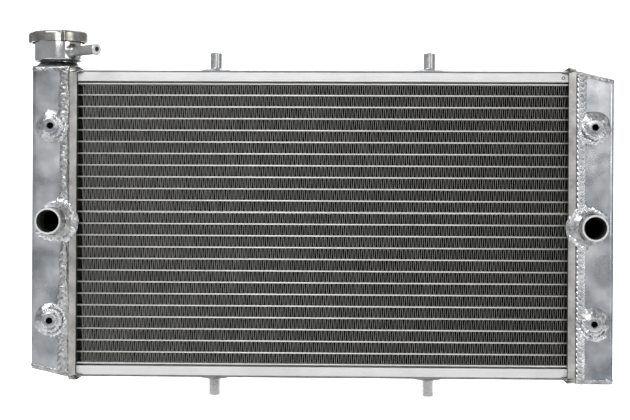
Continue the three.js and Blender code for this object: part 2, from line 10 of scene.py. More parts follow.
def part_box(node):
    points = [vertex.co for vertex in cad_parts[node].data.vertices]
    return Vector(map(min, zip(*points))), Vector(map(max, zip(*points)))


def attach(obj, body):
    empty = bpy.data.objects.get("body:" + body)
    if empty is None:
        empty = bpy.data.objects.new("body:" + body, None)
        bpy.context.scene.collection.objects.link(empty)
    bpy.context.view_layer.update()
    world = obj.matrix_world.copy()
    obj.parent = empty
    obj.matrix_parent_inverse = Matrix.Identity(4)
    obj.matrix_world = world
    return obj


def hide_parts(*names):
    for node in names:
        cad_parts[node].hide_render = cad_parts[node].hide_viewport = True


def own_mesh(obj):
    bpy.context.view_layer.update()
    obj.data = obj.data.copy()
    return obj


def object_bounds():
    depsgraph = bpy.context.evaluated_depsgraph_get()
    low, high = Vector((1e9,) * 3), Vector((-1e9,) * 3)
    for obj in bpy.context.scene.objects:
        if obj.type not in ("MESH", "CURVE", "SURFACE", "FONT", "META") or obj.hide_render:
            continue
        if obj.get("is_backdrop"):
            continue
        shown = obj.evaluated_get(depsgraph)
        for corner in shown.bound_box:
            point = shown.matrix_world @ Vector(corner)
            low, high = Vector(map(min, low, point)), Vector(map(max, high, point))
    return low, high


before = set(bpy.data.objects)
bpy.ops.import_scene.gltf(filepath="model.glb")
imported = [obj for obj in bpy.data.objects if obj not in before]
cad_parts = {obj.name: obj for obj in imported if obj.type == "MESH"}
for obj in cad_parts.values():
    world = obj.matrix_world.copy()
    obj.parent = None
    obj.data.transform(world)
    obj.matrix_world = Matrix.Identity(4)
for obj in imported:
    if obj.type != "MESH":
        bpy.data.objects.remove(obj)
noise.seed_set(1)  # otherwise noise_vector starts from the clock
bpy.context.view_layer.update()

MM = 0.001
TAU = 2 * math.pi
LEFT = "left"
RIGHT = "right"

# ---- places, from the frame ----
RAIL_LOW, RAIL_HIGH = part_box("bottom_rail")[0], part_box("top_rail")[1]
CORE_Z = (RAIL_LOW.z + RAIL_HIGH.z) / 2
TUBES = [f"tube_{i + 1:02d}" for i in range(23)]
TUBE_BOXES = [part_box(name) for name in TUBES]
FIN_BOXES = [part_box(f"fin_bank_{i + 1:02d}") for i in range(4)]
TANK_LOW, TANK_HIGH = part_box("left_tank_shell")
PLATE_THICK = 2.5 * MM
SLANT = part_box("left_tank_bottom_plate")[1].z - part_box("left_tank_bottom_plate")[0].z - PLATE_THICK
NECK_LOW, NECK_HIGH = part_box("filler_neck")
NECK = (NECK_LOW + NECK_HIGH) / 2
NECK_AXIS = (NECK.x, NECK.y, 0)
CAP_LOW, CAP_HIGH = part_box("cap_shell")
FRONT = TANK_LOW.y  # front face of the end tanks


# ---- meshes ----
def new_object(name, data):
    obj = bpy.data.objects.new(name, data)
    bpy.context.collection.objects.link(obj)
    return obj


def new_mesh(name, points, faces, material, smooth=True):
    mesh = bpy.data.meshes.new(name)
    mesh.from_pydata([tuple(p) for p in points], [], [tuple(int(i) for i in f) for f in faces])
    mesh.polygons.foreach_set("use_smooth", [smooth] * len(mesh.polygons))
    mesh.materials.append(material)
    return new_object(name, mesh)


def add_mesh(name, points, faces, material, body="root", stands_for=(), smooth=True):
    obj = new_mesh(name, points, faces, material, smooth)
    turn_faces_out(obj.data)
    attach(obj, body)
    if stands_for:
        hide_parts(*stands_for)
    return obj


def skin(node, points, faces, material, body="root"):
    """The finer mesh that stands for one CAD node."""
    return add_mesh(f"{node}_skin", points, faces, material, body, [node])


def inside_material(obj, material, is_inside):
    """Gives one more material to the faces that is_inside(polygon) picks."""
    obj.data.materials.append(material)
    for polygon in obj.data.polygons:
        if is_inside(polygon):
            polygon.material_index = len(obj.data.materials) - 1


def edit_mesh(mesh, change):
    bm = bmesh.new()
    bm.from_mesh(mesh)
    change(bm)
    bm.to_mesh(mesh)
    bm.free()


def turn_faces_out(mesh):
    edit_mesh(mesh, lambda bm: bmesh.ops.recalc_face_normals(bm, faces=bm.faces))


def sharpen(obj, degrees=38):
    """Keeps edges sharper than this crisp on an otherwise smooth mesh."""
    def mark(bm):
        for edge in bm.edges:
            if len(edge.link_faces) == 2 and edge.calc_face_angle(0) > math.radians(degrees):
                edge.smooth = False

    edit_mesh(obj.data, mark)


def grid_faces(rows, columns, close_rows=False, close_columns=False):
    """Quads over a rows x columns grid of points, joined round either way."""
    last_row = rows if close_rows else rows - 1
    last_column = columns if close_columns else columns - 1
    i, j = np.meshgrid(np.arange(last_row), np.arange(last_column), indexing="ij")
    i, j = i.ravel(), j.ravel()
    down, along = (i + 1) % rows, (j + 1) % columns
    return np.stack([i * columns + j, i * columns + along, down * columns + along, down * columns + j], 1)


def tube_faces(rows, columns):
    """The faces of rows rings joined into a tube with flat ends."""
    ends = [range(columns), range((rows - 1) * columns, rows * columns)]
    return [*grid_faces(rows, columns, close_columns=True), *ends]


def lathe(profile, segments):
    """Points and faces of a profile of (radius, height) turned about Z. Ends on the axis are closed."""
    angle = np.arange(segments) / segments * TAU
    rows = [[(r * math.cos(a), r * math.sin(a), h) for a in angle] for r, h in profile]
    points = np.array(rows).reshape(-1, 3)
    return points, grid_faces(len(profile), segments, close_columns=True)


def arc(centre, radius, start, end, steps):
    """(radius, height) points on an arc, in degrees."""
    angles = np.radians(np.linspace(start, end, steps))
    return [(centre[0] + radius * math.cos(a), centre[1] + radius * math.sin(a)) for a in angles]


def face_forward(points):
    """Turns +Z to -Y, so a lathe's height runs towards the front."""
    x, y, z = np.asarray(points, float).T
    return np.stack([x, -z, y], 1)


def end_place(points, side):
    """Drawn at the left end, measured from the core's middle. The right end is that turned half round Y."""
    points = np.asarray(points, float)
    if side == RIGHT:
        points = points * (-1, 1, -1)
    return points + (0, 0, CORE_Z)


def ripple_noise(count, seed, octaves):
    """A smooth random closed run of numbers, about -1 to 1."""
    dice = random.Random(seed)
    t = np.arange(count) / count * TAU
    total = np.zeros(count)
    for k in range(1, octaves + 1):
        even = math.cos(dice.uniform(0, TAU)) * 0.3 * np.sin(k * t)
        total += even + 0.7 / k * np.sin(k * t + dice.uniform(0, TAU))
    return total / 1.3


def shake(points, amount, size, seed):
    """Moves each point by smooth noise of the given size, in metres."""
    start = Vector((seed, seed, seed))
    return np.array([Vector(p) + noise.noise_vector(Vector(p) / size + start) * amount for p in points])


# ---- materials ----
def nodes_of(name):
    material = bpy.data.materials.new(name)
    material.use_nodes = True
    tree = material.node_tree
    return material, tree, tree.nodes["Principled BSDF"]


def add_noise(tree, scale, stretch=(1, 1, 1), detail=4):
    """Noise in object coordinates; scale counts features per metre."""
    where = tree.nodes.new("ShaderNodeTexCoord")
    mapping = tree.nodes.new("ShaderNodeMapping")
    mapping.inputs["Scale"].default_value = stretch
    texture = tree.nodes.new("ShaderNodeTexNoise")
    texture.inputs["Scale"].default_value = scale
    texture.inputs["Detail"].default_value = detail
    texture.inputs["Roughness"].default_value = 0.6
    tree.links.new(where.outputs["Object"], mapping.inputs["Vector"])
    tree.links.new(mapping.outputs["Vector"], texture.inputs["Vector"])
    return texture.outputs["Fac"]


def ramp(tree, value, stops):
    node = tree.nodes.new("ShaderNodeValToRGB")
    elements = node.color_ramp.elements
    while len(elements) < len(stops):
        elements.new(0.5)
    for element, (position, colour) in zip(elements, stops):
        element.position = position
        element.color = (*colour, 1)
    tree.links.new(value, node.inputs["Fac"])
    return node.outputs["Color"]


def spread(tree, value, low, high, start=0.3, end=0.7):
    """Maps start to end, by default the middle of a noise, onto low to high."""
    node = tree.nodes.new("ShaderNodeMapRange")
    for key, number in (("From Min", start), ("From Max", end), ("To Min", low), ("To Max", high)):
        node.inputs[key].default_value = number
    tree.links.new(value, node.inputs["Value"])
    return node.outputs["Result"]


def bump(tree, shader, layers):
    """Stacks bump layers of (value, strength, distance)."""
    normal = None
    for value, strength, distance in layers:
        node = tree.nodes.new("ShaderNodeBump")
        node.inputs["Strength"].default_value = strength
        node.inputs["Distance"].default_value = distance
        tree.links.new(value, node.inputs["Height"])
        if normal:
            tree.links.new(normal, node.inputs["Normal"])
        normal = node.outputs["Normal"]
    tree.links.new(normal, shader.inputs["Normal"])


def metal(name, dark, light, rough, patch, grain=(1, 1, 1), grain_scale=900, grain_bump=0.15,
          wave_bump=0.0, metallic=1.0, specular=0.5):
    """Bare metal: cloudy patches of colour and polish, a fine grain, and if asked a gentle unevenness.

    patch and grain_scale count features per metre; grain stretches the fine grain along one axis.
    """
    material, tree, shader = nodes_of(name)
    shader.inputs["Metallic"].default_value = metallic
    shader.inputs["Specular IOR Level"].default_value = specular
    patches = add_noise(tree, patch, detail=4)
    fine = add_noise(tree, grain_scale, grain, detail=3)
    tree.links.new(ramp(tree, patches, [(0.32, dark), (0.68, light)]), shader.inputs["Base Color"])
    tree.links.new(spread(tree, add_noise(tree, patch * 2.3, detail=1), *rough), shader.inputs["Roughness"])
    layers = [(fine, grain_bump, 0.02 * MM)]
    if wave_bump:
        layers.append((add_noise(tree, 18, detail=1), wave_bump, 2 * MM))
    bump(tree, shader, layers)
    return material


def rubber():
    material, tree, shader = nodes_of("seal_rubber")
    speckle = add_noise(tree, 700)
    colour = ramp(tree, speckle, [(0.3, (0.012,) * 3), (0.7, (0.03,) * 3)])
    tree.links.new(colour, shader.inputs["Base Color"])
    tree.links.new(spread(tree, speckle, 0.7, 0.9), shader.inputs["Roughness"])
    bump(tree, shader, [(speckle, 0.3, 0.05 * MM)])
    return material


FLOOR_GLOW = 0.85
GLOW_REACH = (0.04, 0.13)  # metres behind the core's mid-plane where the glow starts and is full


def pale_floor():
    """Pale paper, lit from within behind the radiator, like a light table."""
    material, tree, shader = nodes_of("studio_floor")
    cloud = add_noise(tree, 1.5)
    tree.links.new(ramp(tree, cloud, [(0.3, (0.9,) * 3), (0.7, (0.93,) * 3)]), shader.inputs["Base Color"])
    shader.inputs["Roughness"].default_value = 0.9
    where = tree.nodes.new("ShaderNodeTexCoord")
    parts = tree.nodes.new("ShaderNodeSeparateXYZ")
    tree.links.new(where.outputs["Object"], parts.inputs["Vector"])
    glow = spread(tree, parts.outputs["Y"], 0, FLOOR_GLOW, *GLOW_REACH)
    tree.links.new(glow, shader.inputs["Emission Strength"])
    shader.inputs["Emission Color"].default_value = (1, 1, 1, 1)
    return material


# dark and light colour, roughness low and high, patches a metre, then the grain and the bumps
TANK_METAL = metal("tank_sheet", (0.3, 0.32, 0.35), (0.95, 0.95, 0.95), (0.2, 0.42), 20, (1, 1, 0.05),
                   700, 0.05, 0.6)
HEADER_METAL = metal("header_sheet", (0.42, 0.4, 0.38), (0.8, 0.78, 0.75), (0.28, 0.5), 60, (1, 1, 0.06),
                     900, 0.3, 0.2)
RAIL_METAL = metal("rail_sheet", (0.84, 0.83, 0.82), (0.95, 0.94, 0.93), (0.4, 0.55), 25, (0.05, 1, 1),
                   900, 0.12, metallic=0.45)
TUBE_METAL = metal("tube_skin", (0.86, 0.85, 0.83), (0.98, 0.97, 0.95), (0.35, 0.5), 90, (0.1, 1, 1),
                   1500, 0.12, metallic=0.3)
FIN_METAL = metal("fin_foil", (0.55, 0.54, 0.51), (0.79, 0.77, 0.725), (0.4, 0.6), 120, (1, 1, 1),
                  2500, 0.2, metallic=0.7)
TURNED_METAL = metal("turned_bar", (0.6, 0.6, 0.61), (0.86, 0.86, 0.87), (0.16, 0.34), 90, (1, 1, 1),
                     1500, 0.15)
WELD_METAL = metal("weld_bead", (0.6, 0.61, 0.63), (0.97, 0.97, 0.97), (0.2, 0.34), 110, (1, 1, 1),
                   1500, 0.08)
END_METAL = metal("turned_end", (0.8, 0.8, 0.78), (0.94, 0.94, 0.92), (0.35, 0.5), 150, metallic=0.35)
DRAWN_METAL = metal("drawn_tube", (0.5, 0.5, 0.5), (0.66, 0.66, 0.66), (0.28, 0.42), 60,
                    metallic=0.75)
# painted shade down the pipes' bores
BORE_SHADE_METAL = metal("pipe_bore_painted_shade", (0.1, 0.1, 0.09), (0.2, 0.2, 0.185), (0.5, 0.7), 90, metallic=0.2)
# painted shade: dark grey for the rails' outward bends, the pins' flanges and the rail's dimple
SHADED_EDGE_METAL = metal("shaded_edge", (0.2, 0.2, 0.21), (0.32, 0.32, 0.33), (0.5, 0.65), 60,
                   metallic=0.2, specular=0.15)
PIN_METAL = metal("pin_bar", (0.45, 0.45, 0.45), (0.62, 0.62, 0.62), (0.2, 0.32), 60,
                  metallic=0.65, specular=0.3)
GROUND_WELD = metal("ground_weld", (0.34, 0.335, 0.335), (0.74, 0.735, 0.73), (0.22, 0.45), 220, (1, 1, 1),
                    1200, 0.7)
SHADED_WELD = metal("shaded_weld", (0.1, 0.1, 0.1), (0.4, 0.4, 0.4), (0.25, 0.5), 160, (1, 1, 1), 1200, 0.5)
NECK_METAL = metal("neck_casting", (0.68, 0.67, 0.66), (0.95, 0.94, 0.92), (0.1, 0.19), 40, (1, 1, 0.1),
                   900, 0.05, 0.15)
CAP_METAL = metal("cap_plating", (0.26, 0.245, 0.215), (0.68, 0.635, 0.57), (0.1, 0.28), 70, (1, 1, 1),
                  1200, 0.1, 0.3)
# painted shade on the cap's top
CAP_TOP_SHADE_METAL = metal("cap_top_painted_shade", (0.17, 0.16, 0.14), (0.36, 0.34, 0.3), (0.4, 0.55), 70,
                      metallic=0.6, specular=0.2)
SPRING_METAL = metal("spring_wire", (0.35, 0.35, 0.36), (0.55, 0.55, 0.56), (0.25, 0.4), 200)
# painted shade: a near-black stand-in for shadow, inside the tanks, deep in the fins and down the boss holes
PAINTED_SHADE_METAL = metal("painted_shade_inside", (0.012, 0.012, 0.011), (0.035, 0.034, 0.032), (0.75, 0.95), 90,
                      metallic=0, specular=0.05)
# painted shade on the tubes' flats and the headers' core-side faces
SHADED_METAL = metal("header_inside", (0.05, 0.05, 0.046), (0.12, 0.118, 0.11), (0.75, 0.95), 90,
                     metallic=0, specular=0.05)
RUBBER = rubber()


# ---- core ----
TUBE_WALL = 0.3 * MM
TUBE_NOSE_STEPS = 9
SHADE_SLOPE = 0.7  # the tubes get painted shade where they face up or down more than this


def tube_piece(name, low, high):
    """A flat tube with round noses, hollow, open at both ends, with painted shade on its flats."""
    thick = high.z - low.z
    depth = (high.y - low.y) / 2
    middle = (high.z + low.z) / 2

    def outline(inset):
        radius = thick / 2 - inset
        reach = depth - thick / 2
        front = arc((-reach, 0), radius, 90, 270, TUBE_NOSE_STEPS)
        return front + arc((reach, 0), radius, -90, 90, TUBE_NOSE_STEPS)

    rows = []
    for x, inset in ((low.x, 0), (high.x, 0), (high.x, TUBE_WALL), (low.x, TUBE_WALL)):
        rows.append([(x, y, middle + z) for y, z in outline(inset)])
    points = np.array(rows).reshape(-1, 3)
    faces = grid_faces(4, len(rows[0]), close_rows=True, close_columns=True)
    tube = skin(name, points, faces, TUBE_METAL)
    # painted shade on the flats
    inside_material(tube, SHADED_METAL, lambda f: abs(f.normal.z) > SHADE_SLOPE)


FIN_WAVE = 3.65 * MM
FIN_FOIL = 0.13 * MM
FIN_LEG = (  # one leg from fold to fold, as shares (along, up) of its width and height
    (-0.5, -1), (-0.3, -0.97), (-0.11, -0.86), (0.11, 0.86), (0.3, 0.97))
FIN_LIP = 3 * MM  # the clean front and back part of each leg, set over to one side like an open louvre
FIN_DEPTHS = (0, FIN_LIP, 12 * MM, -12 * MM, -FIN_LIP, 0)  # three from the front face, three from the back
FIN_SWAY = (0, 0.58 * MM, -1.9 * MM, 1.9 * MM, 0.58 * MM, 0)  # how far each of these stands to one side
FIN_REAR = 0.0  # past the strips' front ends only the foil behind this depth goes on to the headers
FIN_REAR_STEP = 0.5 * MM  # between the stations pushed back there
FIN_END = 3 * MM  # the strips' front ends reach this much further than the CAD's
FIN_HEADER_GAP = 2 * MM
FIN_FACE_BACK = 0.6 * MM  # the strips' faces stand this far behind the tubes' noses
FIN_PITCH_ERROR = 0.035  # how unevenly the folds are spaced, in legs
FIN_LEAN = 0.12 * MM  # how far the legs' front edges are pushed about
FIN_DENT = 0.6  # and the few dented ones, in mm
FIN_DENTED_SHARE = 0.006
FIN_SEED = 900


def fin_strip(number, z_low, z_high, bank):
    """One corrugated strip of thin foil with rounded folds."""
    dice = np.random.RandomState(FIN_SEED + number)
    front_low, front_high = FIN_BOXES[0][0].x - FIN_END, FIN_BOXES[0][1].x + FIN_END
    x_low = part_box("left_header")[1].x + FIN_HEADER_GAP
    x_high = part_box("right_header")[0].x - FIN_HEADER_GAP
    y_front, y_back = TUBE_BOXES[0][0].y + FIN_FACE_BACK, TUBE_BOXES[0][1].y - FIN_FACE_BACK
    legs = int((x_high - x_low) / (FIN_WAVE / 2))
    along, up = np.array(FIN_LEG).T
    turns = (np.arange(legs)[:, None] + 0.5 + along[None, :]).ravel()
    pitch_error = np.cumsum(dice.normal(0, FIN_PITCH_ERROR, legs))
    pitch_error -= np.linspace(0, pitch_error[-1], legs)
    x = x_low + (turns + np.interp(turns, np.arange(legs), pitch_error)) / legs * (x_high - x_low)
    half = (z_high - z_low) / 2 - FIN_FOIL
    z = half * (np.where(np.arange(legs) % 2, -1, 1)[:, None] * up[None, :]).ravel()
    tangent = np.stack([np.gradient(x), np.gradient(z)], 1)
    tangent /= np.linalg.norm(tangent, axis=1)[:, None]
    off_x, off_z = -tangent[:, 1] * FIN_FOIL / 2, tangent[:, 0] * FIN_FOIL / 2
    count = len(FIN_DEPTHS)
    stations = [y_front + d if k < count // 2 else y_back + d for k, d in enumerate(FIN_DEPTHS)]
    middle = (z_low + z_high) / 2
    lean = np.interp(turns, np.arange(legs), dice.normal(0, FIN_LEAN, legs))
    dents = np.convolve(dice.rand(legs) < FIN_DENTED_SHARE, [0.5, 1, 0.5], "same")
    lean += np.interp(turns, np.arange(legs), dents * FIN_DENT * MM)
    loops = []
    leg_middle = x.reshape(legs, -1).mean(1).repeat(len(FIN_LEG))
    past_end = (leg_middle < front_low) | (leg_middle > front_high)
    bulge = np.cos(z / half * math.pi / 2)  # the folds are held by the tubes, the legs' middles are not
    for sheet, order in ((1, range(count)), (-1, range(count - 1, -1, -1))):
        for k in order:
            front = lean if k == 0 else 0
            cut_back = past_end & (stations[k] < FIN_REAR)
            loops.append(np.stack([
                x + sheet * off_x + FIN_SWAY[k] + front * bulge,
                np.where(cut_back, FIN_REAR + k * FIN_REAR_STEP, stations[k]),
                middle + z + sheet * off_z,
            ], 1))
    points = np.stack(loops, 1).reshape(-1, 3)
    faces = grid_faces(len(x), len(loops), close_columns=True)
    strip = add_mesh(f"fin_strip_{number:02d}", points, faces, FIN_METAL, stands_for=[bank],
                     smooth=False)
    painted_shade_depth = y_back - FIN_LIP  # painted shade deep between the legs and past the strips' front ends
    inside_material(strip, PAINTED_SHADE_METAL,
                    lambda f: abs(f.center.y) < painted_shade_depth or not front_low < f.center.x < front_high)


STRIPS_A_BANK = 6


def core():
    for name, (low, high) in zip(TUBES, TUBE_BOXES):
        tube_piece(name, low, high)
    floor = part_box("bottom_side_sheet")[1].z
    levels = [floor]
    for low, high in TUBE_BOXES:
        levels += [low.z, high.z]
    levels.append(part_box("top_side_sheet")[0].z)
    for i in range(len(levels) // 2):
        fin_strip(i + 1, levels[2 * i], levels[2 * i + 1], f"fin_bank_{i // STRIPS_A_BANK + 1:02d}")


RAIL_WALL = 1.5 * MM
RAIL_BEND = 2.6 * MM
RAIL_FRONT_FLANGE = 9.5 * MM
RAIL_FRONT_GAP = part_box("top_rail")[1].z - RAIL_FRONT_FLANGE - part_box("top_rail")[0].z
RAIL_WAVE, RAIL_WAVE_SIZE = 0.12 * MM, 60 * MM
EDGE_SLOPE = 0.15  # faces that point outward more than this are painted dark grey, a painted shade on the bends
DIMPLE = ((0, -0.5), (0.5, -0.45), (0.9, 0.2), (1.2, 0.35), (1.6, 0.05), (1.7, -0.5))  # radius, height in mm
DIMPLE_FROM_END, DIMPLE_FROM_TOP = 4.2 * MM, 6 * MM


def rail_piece(name, outward):
    """A bent channel with its web outside. outward is +1 for the top rail."""
    low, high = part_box(name)
    wall, bend = RAIL_WALL, RAIL_BEND
    half, tall = (high.y - low.y) / 2, high.z - low.z
    outer = [(-half, RAIL_FRONT_GAP)] + arc((-half + bend, tall - bend), bend, 180, 90, 8)
    outer += arc((half - bend, tall - bend), bend, 90, 0, 8) + [(half, 0)]
    inner = [(half - wall, 0)] + arc((half - bend, tall - bend), bend - wall, 0, 90, 6)
    inner += arc((-half + bend, tall - bend), bend - wall, 90, 180, 6)
    inner += [(-half + wall, RAIL_FRONT_GAP)]
    outline = outer + inner
    stations = np.linspace(low.x, high.x, 60)
    base = low.z if outward > 0 else high.z
    points = np.array([[(x, y, base + outward * z) for y, z in outline] for x in stations]).reshape(-1, 3)
    points = shake(points, RAIL_WAVE, RAIL_WAVE_SIZE, 3)
    rail = skin(name, points, tube_faces(len(stations), len(outline)), RAIL_METAL)
    # painted shade on the rail's outward bends
    inside_material(rail, SHADED_EDGE_METAL, lambda f: f.normal.z * outward > EDGE_SLOPE)
    sharpen(rail)


def rail_dimple():
    """The small pressed mark near the top rail's right end."""
    low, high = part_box("top_rail")
    points, faces = lathe([(r * MM, h * MM) for r, h in DIMPLE], 32)
    place = (high.x - DIMPLE_FROM_END, low.y, high.z - DIMPLE_FROM_TOP)
    # painted shade in the pressed dimple
    add_mesh("top_rail_dimple", face_forward(points) + place, faces, SHADED_EDGE_METAL)


# ---- welds ----
SCALE_BOW = 0.65  # how far a scale's edges trail behind its middle, in pitches
SUNK = 0.15  # share of a bead's height that lies in the sheet
LUMP_SIZE, GRAIN_SIZE = 2.5 * MM, 1.3 * MM
FOOT_SUNK = 0.25 * MM  # how deep a ring's outer foot lies in the sheet
RING_LUMP_SIZE = 3 * MM


def bead(name, path, normals, width, height, pitch, seed, material, rough, ripple=0.35):
    """A weld run along a path: overlapping crescents, humped in section and sunk a little at its edges."""
    path, normals = np.array(path), np.array(normals)
    tangent = np.gradient(path, axis=0)
    tangent /= np.linalg.norm(tangent, axis=1)[:, None]
    side = np.cross(tangent, normals)
    run = np.concatenate([[0], np.cumsum(np.linalg.norm(np.diff(path, axis=0), axis=1))])
    across = np.linspace(-1, 1, 15)
    uneven = ripple_noise(len(path), seed, 14)
    wander = ripple_noise(len(path), seed + 1, 9)
    rows = []
    for v in across:
        phase = (run / pitch + SCALE_BOW * v * v + 0.15 * wander) % 1
        crest = np.sin(math.pi * phase)
        dome = math.sqrt(max(0, 1 - v * v))
        lift = height * (dome * (1 - ripple + ripple * crest + rough * 0.5 * uneven) - SUNK)
        reach = width / 2 * v * (0.9 + 0.14 * crest + rough * wander * 0.5)
        rows.append(path + side * reach[:, None] + normals * lift[:, None])
    points = np.stack(rows, 1).reshape(-1, 3)
    points = shake(points, rough * 0.5 * MM, LUMP_SIZE, seed)
    points = shake(points, rough * 0.2 * MM, GRAIN_SIZE, seed + 2)
    add_mesh(name, points, grid_faces(len(path), len(across)), material)


def fillet_ring(name, place, foot, top, height, seed, material, uneven, ripples=22, ripple=0.12,
                stretch=0.0, hollow=1.0, lump=0.35 * MM):
    """A weld round a tube, from an outer foot up to its wall; the function place puts it in place.

    stretch widens the foot towards the header; hollow above 1 makes the slope concave, below 1 domed.
    """
    around, across = 180, 16
    angle = np.arange(around) / around * TAU
    edge = 1 + uneven * ripple_noise(around, seed, 9) + stretch * (0.5 + 0.5 * np.cos(angle)) ** 1.5
    lumps = ripple_noise(around, seed + 5, 12)
    rings = []
    for k in range(across):
        t = k / (across - 1)
        radius = top + (foot * edge - top) * (1 - t)
        wave = 0.5 + 0.5 * np.sin(angle * ripples + 4 * t + 2 * lumps)
        swell = math.sin(math.pi * t) * (ripple * wave + 0.5 * uneven * lumps)
        lift = height * t ** hollow + height * swell - FOOT_SUNK * (1 - t)
        rings.append(np.stack([radius * np.cos(angle), radius * np.sin(angle), lift], 1))
    points = shake(np.concatenate(rings), lump, RING_LUMP_SIZE, seed)
    add_mesh(name, place(points), grid_faces(across, around, close_columns=True), material)


def ring_bead(name, centre, radius, start, end, width, height, pitch, seed, material, side, rough):
    """A run of weld along part of a circle on the tank's front; angles from the header's side, in degrees."""
    angle = np.radians(np.arange(start, end, 1.5))
    drift = radius * (1 + 0.05 * ripple_noise(len(angle), seed + 3, 4))
    path = np.stack([
        centre[0] + drift * np.cos(angle), np.full_like(angle, centre[1]), centre[2] + drift * np.sin(angle),
    ], 1)
    normals = np.tile((0.0, -1.0, 0.0), (len(path), 1))
    bead(name, end_place(path, side), normals, width, height, pitch, seed, material, rough)


# ---- end tanks, in coordinates measured from the core's middle ----
END_TOP = TANK_HIGH.z - CORE_Z
OUTER_X = TANK_LOW.x
INNER_X = TANK_HIGH.x
CORNER = 4 * MM
WALL = 2.5 * MM
SEAM_GAP = 0.3 * MM
SLANT_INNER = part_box("left_tank_bottom_plate")[0].z + PLATE_THICK - CORE_Z
SHELL_ROWS = 130
SHELL_STEP, LINING_STEP = 1.6 * MM, 6 * MM  # between points round the wall's outside and inside


def tank_floor(x):
    """Height of the shell's slanted end at x."""
    return SLANT_INNER + SEAM_GAP + SLANT * (INNER_X - x) / (INNER_X - OUTER_X)


def spaced(start, end, step):
    count = max(2, int(math.dist(start, end) / step))
    return [tuple(p) for p in np.linspace(start, end, count)]


def tank_outline(inset, step=SHELL_STEP):
    """The tank's wall from above, from its front free edge round to its back one."""
    depth = -FRONT - inset
    x = OUTER_X + inset
    radius = CORNER - inset
    points = spaced((INNER_X, -depth), (x + radius, -depth), step)[:-1]
    points += arc((x + radius, -depth + radius), radius, 270, 180, 9)
    points += spaced((x, -depth + radius), (x, depth - radius), step)[1:-1]
    points += arc((x + radius, depth - radius), radius, 180, 90, 9)
    return points + spaced((x + radius, depth), (INNER_X, depth), step)[1:]


def tank_shell(side):
    outline = tank_outline(0) + tank_outline(WALL, LINING_STEP)[::-1]
    rows = []
    for t in np.linspace(0, 1, SHELL_ROWS):
        rows.append([(x, y, tank_floor(x) + t * (END_TOP - tank_floor(x))) for x, y in outline])
    points = np.array(rows).reshape(-1, 3)
    points = end_place(dented(points), side)
    faces = tube_faces(len(rows), len(outline))
    shell = add_mesh(f"{side}_tank_skin", points, faces, TANK_METAL, stands_for=[f"{side}_tank_shell"])
    outer_count = len(tank_outline(0))
    # painted shade: the wall's inside is near black
    inside_material(shell, PAINTED_SHADE_METAL, lambda f: f.index % len(outline) >= outer_count)
    sharpen(shell, 45)
    cut_bores(shell, side)


FACE_SUNK = 0.45  # the flat faces stand this far inside the CAD's, in mm
HOLLOWS, HOLLOW_SIZE = 0.35, 32 * MM
DENTS, DENT_SIZE = 0.1, 11 * MM
FACE_BLEND = 3 * MM


def dented(points):
    """The flat front and back sheets are drawn in and out a little."""
    moved = points.copy()
    for i, (x, y, z) in enumerate(points):
        depth = noise.noise(Vector((x, y * 0.4, z)) / HOLLOW_SIZE) * HOLLOWS
        depth += noise.noise(Vector((x + 1, y, z)) / DENT_SIZE) * DENTS
        near = max(0, 1 - (-FRONT - abs(y)) / FACE_BLEND)  # 1 on the flat faces, 0 past the corners
        moved[i, 1] -= math.copysign((FACE_SUNK + depth) * near * MM, y)
    return moved


PIPE_WALL = 1.5 * MM
BOSS_INSIDE = 1 * MM  # the sheet's hole is this much smaller than the boss
BORE_DEPTH = 16 * MM


def cut_bores(shell, side):
    """Opens the front wall behind the hose pipe and behind each fan boss."""
    bosses = [(f"{side}_{level}_fan_boss", BOSS_INSIDE) for level in ("upper", "lower")]
    for name, wall in [(PIPES[side], PIPE_WALL)] + bosses:
        low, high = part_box(name)
        bpy.ops.mesh.primitive_cylinder_add(
            vertices=48, radius=(high.x - low.x) / 2 - wall, depth=BORE_DEPTH,
            location=((low.x + high.x) / 2, FRONT, (low.z + high.z) / 2), rotation=(math.pi / 2, 0, 0))
        cutter = bpy.context.object
        modifier = shell.modifiers.new("bore", "BOOLEAN")
        modifier.operation = "DIFFERENCE"
        modifier.object = cutter
        evaluated = shell.evaluated_get(bpy.context.evaluated_depsgraph_get())
        mesh = bpy.data.meshes.new_from_object(evaluated)
        shell.modifiers.clear()
        shell.data = mesh
        bpy.data.objects.remove(cutter)


PIPES = {LEFT: "inlet_pipe", RIGHT: "outlet_pipe"}
PIPE_LIP = 0.25 * MM
WELD_BITE = 0.2 * MM  # a ring's inner edge lies this deep in the tube it holds
LIT_BORE = 5 * MM  # the first part of the bore keeps the pipe's own metal; deeper in, the bore has painted shade
PIPE_WELD_FOOT, PIPE_WELD_HEIGHT = 15 * MM, 6 * MM
PIPE_RUNS = ((20, 84, 17.5), (-80, -16, 17.5), (210, 320, 14.5))  # start and end in degrees, reach in mm


def pipe_seat(low, high, side):
    """Where a pipe or a boss meets the tank's front, in the left end's coordinates."""
    foot = np.array([(low.x + high.x) / 2, FRONT, (low.z + high.z) / 2 - CORE_Z])
    return foot if side == LEFT else foot * (-1, 1, -1)


